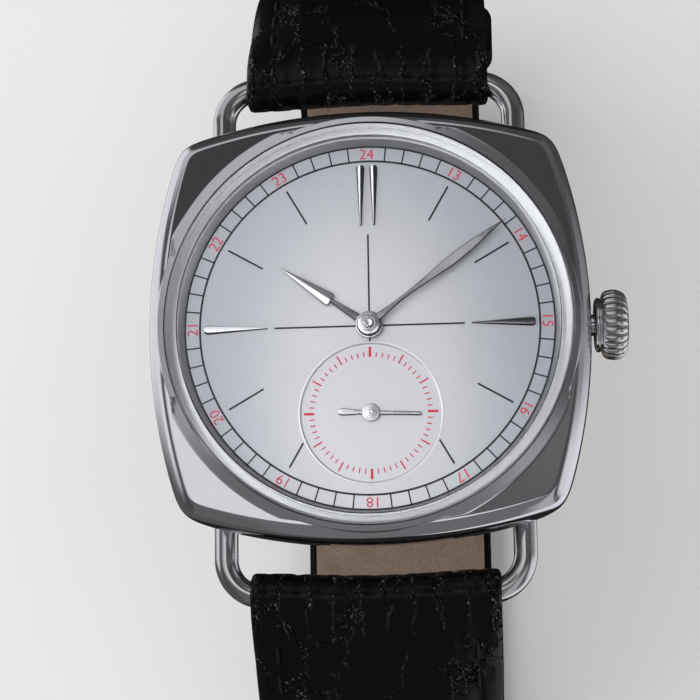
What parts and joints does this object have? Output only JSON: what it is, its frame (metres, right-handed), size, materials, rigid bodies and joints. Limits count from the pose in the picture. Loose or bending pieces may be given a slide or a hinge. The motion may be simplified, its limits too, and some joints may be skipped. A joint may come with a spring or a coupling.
{
  "type": "wristwatch",
  "caption": "Cushion-cased wristwatch with wire lugs, small seconds, an automatic movement and a black leather strap with a pin buckle, standing on its strap.",
  "frame": {"origin": "middle of the case back's outer face", "axes": "+Z out through the dial, +X towards the crown at three o'clock, +Y towards twelve o'clock"},
  "size_m": [0.0424, 0.0834, 0.0633],
  "materials": {
    "polished_steel": "polished stainless steel",
    "brushed_steel": "fine brushed steel",
    "crystal": "domed clear glass",
    "back_glass": "flat mineral glass",
    "dial_silver": "silvered sunburst",
    "index_steel": "faceted polished steel",
    "hand_steel": "polished steel with a centre ridge",
    "plate_nickel": "plated brass, fine striping",
    "wheel_brass": "gilt brass",
    "work_steel": "hardened steel",
    "blue_spring": "blued alloy",
    "ruby": "clear red stone",
    "rotor_metal": "heavy metal, circular grain",
    "gasket": "black rubber",
    "strap_black": "glossy square-scale grain",
    "strap_tan": "smooth calf lining"
  },
  "bodies": {
    "head": {"case_middle": "polished_steel", "bezel": "polished_steel", "crystal": "crystal", "crystal_gasket": "gasket", "crown_tube": "polished_steel", "lug_wire_12": "polished_steel", "lug_wire_6": "polished_steel", "case_back": "polished_steel", "case_back_glass": "back_glass", "case_back_gasket": "gasket", "case_screws": "brushed_steel", "movement_ring": "plate_nickel", "dial": "dial_silver", "hour_markers": "index_steel", "main_plate": "plate_nickel", "train_bridge": "plate_nickel", "barrel_bridge": "plate_nickel", "balance_cock": "plate_nickel", "pallet_bridge": "plate_nickel", "jewels": "ruby", "bridge_screws": "work_steel", "rotor_bearing": "work_steel"},
    "minute_work": {"minute_hand": "hand_steel", "cannon_pinion": "work_steel", "centre_wheel": "wheel_brass"},
    "hour_work": {"hour_hand": "hand_steel", "hour_wheel": "wheel_brass"},
    "minute_wheel": {"minute_wheel": "wheel_brass"},
    "third_wheel": {"third_wheel": "wheel_brass"},
    "seconds_work": {"fourth_wheel": "wheel_brass", "seconds_hand": "hand_steel"},
    "escape_wheel": {"escape_wheel": "work_steel"},
    "barrel": {"barrel": "wheel_brass", "mainspring": "work_steel"},
    "ratchet": {"ratchet_wheel": "work_steel", "barrel_arbor": "work_steel"},
    "winding_pinion": {"winding_pinion": "work_steel"},
    "crown": {"crown": "polished_steel", "winding_stem": "work_steel", "crown_gasket": "gasket"},
    "crown_wheel": {"crown_wheel": "work_steel"},
    "click": {"click": "work_steel"},
    "pallet_fork": {"pallet_fork": "work_steel"},
    "balance": {"balance_wheel": "wheel_brass", "hairspring": "blue_spring"},
    "rotor": {"rotor": "rotor_metal"},
    "strap_12": {"strap_12": "strap_black", "strap_12_lining": "strap_tan", "fixed_keeper": "strap_black", "buckle_bar": "brushed_steel"},
    "buckle_frame": {"buckle_frame": "polished_steel"},
    "buckle_tongue": {"buckle_tongue": "polished_steel"},
    "free_keeper": {"free_keeper": "strap_black"},
    "strap_6": {"strap_6": "strap_black", "strap_6_lining": "strap_tan"}
  },
  "joints": [
    {"name": "minute_turn", "type": "hinge", "parent": "head", "child": "minute_work", "pos_m": [0, 0, 0.0079], "axis": [0, 0, -1], "continuous": true},
    {"name": "hour_turn", "type": "hinge", "parent": "head", "child": "hour_work", "pos_m": [0, 0, 0.0075], "axis": [0, 0, -1], "continuous": true},
    {"name": "minute_wheel_turn", "type": "hinge", "parent": "head", "child": "minute_wheel", "pos_m": [0.002, 0.00133, 0.006], "axis": [0, 0, -1], "continuous": true},
    {"name": "third_wheel_turn", "type": "hinge", "parent": "head", "child": "third_wheel", "pos_m": [-0.00607, -0.00387, 0.0038], "axis": [0, 0, -1], "continuous": true},
    {"name": "seconds_turn", "type": "hinge", "parent": "head", "child": "seconds_work", "pos_m": [0, -0.00775, 0.007], "axis": [0, 0, -1], "continuous": true},
    {"name": "escape_wheel_turn", "type": "hinge", "parent": "head", "child": "escape_wheel", "pos_m": [0.0034, -0.01055, 0.0039], "axis": [0, 0, -1], "continuous": true},
    {"name": "barrel_turn", "type": "hinge", "parent": "head", "child": "barrel", "pos_m": [0.0025, 0.00669, 0.0035], "axis": [0, 0, -1], "continuous": true},
    {"name": "crown_turn", "type": "hinge", "parent": "head", "child": "winding_pinion", "pos_m": [0.0111, 0, 0.0046], "axis": [1, 0, 0], "continuous": true},
    {"name": "crown_pull", "type": "slide", "parent": "winding_pinion", "child": "crown", "axis": [1, 0, 0], "range_m": [0, 0.0012]},
    {"name": "crown_wheel_turn", "type": "hinge", "parent": "head", "child": "crown_wheel", "pos_m": [0.0096, 0.0009, 0.0024], "axis": [0, 0, 1], "continuous": true},
    {"name": "ratchet_turn", "type": "hinge", "parent": "head", "child": "ratchet", "pos_m": [0.0025, 0.00669, 0.0023], "axis": [0, 0, 1], "continuous": true},
    {"name": "click_swing", "type": "hinge", "parent": "head", "child": "click", "pos_m": [-0.00291, 0.00981, 0.0023], "axis": [0, 0, 1], "range_deg": [0, 8]},
    {"name": "pallet_swing", "type": "hinge", "parent": "head", "child": "pallet_fork", "pos_m": [0.005, -0.00857, 0.0039], "axis": [0, 0, 1], "range_deg": [-4, 4]},
    {"name": "balance_swing", "type": "hinge", "parent": "head", "child": "balance", "pos_m": [0.007, -0.0061, 0.003], "axis": [0, 0, 1], "range_deg": [-150, 150], "stiffness_Nm_per_rad": 0.0000004},
    {"name": "rotor_turn", "type": "hinge", "parent": "head", "child": "rotor", "pos_m": [0, 0, 0.0018], "axis": [0, 0, 1], "continuous": true},
    {"name": "strap_12_swing", "type": "hinge", "parent": "head", "child": "strap_12", "pos_m": [0, 0.0233, 0.0032], "axis": [1, 0, 0], "range_deg": [0, 75]},
    {"name": "strap_6_swing", "type": "hinge", "parent": "head", "child": "strap_6", "pos_m": [0, -0.0233, 0.0032], "axis": [-1, 0, 0], "range_deg": [0, 75]},
    {"name": "buckle_swing", "type": "hinge", "parent": "strap_12", "child": "buckle_frame", "pos_m": [0, 0.02017, -0.0484], "axis": [-1, 0, 0], "range_deg": [0, 60]},
    {"name": "tongue_swing", "type": "hinge", "parent": "strap_12", "child": "buckle_tongue", "pos_m": [0, 0.02017, -0.0484], "axis": [-1, 0, 0], "range_deg": [-40, 0]},
    {"name": "keeper_slide", "type": "slide", "parent": "strap_12", "child": "free_keeper", "axis": [0, 0, 1], "range_m": [-0.004, 0.004]}
  ],
  "couplings": [
    {"joint": "hour_turn", "follows": "minute_turn", "ratio": 0.083333},
    {"joint": "minute_wheel_turn", "follows": "minute_turn", "ratio": -0.33333},
    {"joint": "third_wheel_turn", "follows": "minute_turn", "ratio": -8},
    {"joint": "seconds_turn", "follows": "minute_turn", "ratio": 60},
    {"joint": "escape_wheel_turn", "follows": "minute_turn", "ratio": -600},
    {"joint": "barrel_turn", "follows": "minute_turn", "ratio": -0.16667},
    {"joint": "crown_wheel_turn", "follows": "crown_turn", "ratio": 0.5},
    {"joint": "ratchet_turn", "follows": "crown_turn", "ratio": -0.40909}
  ]
}
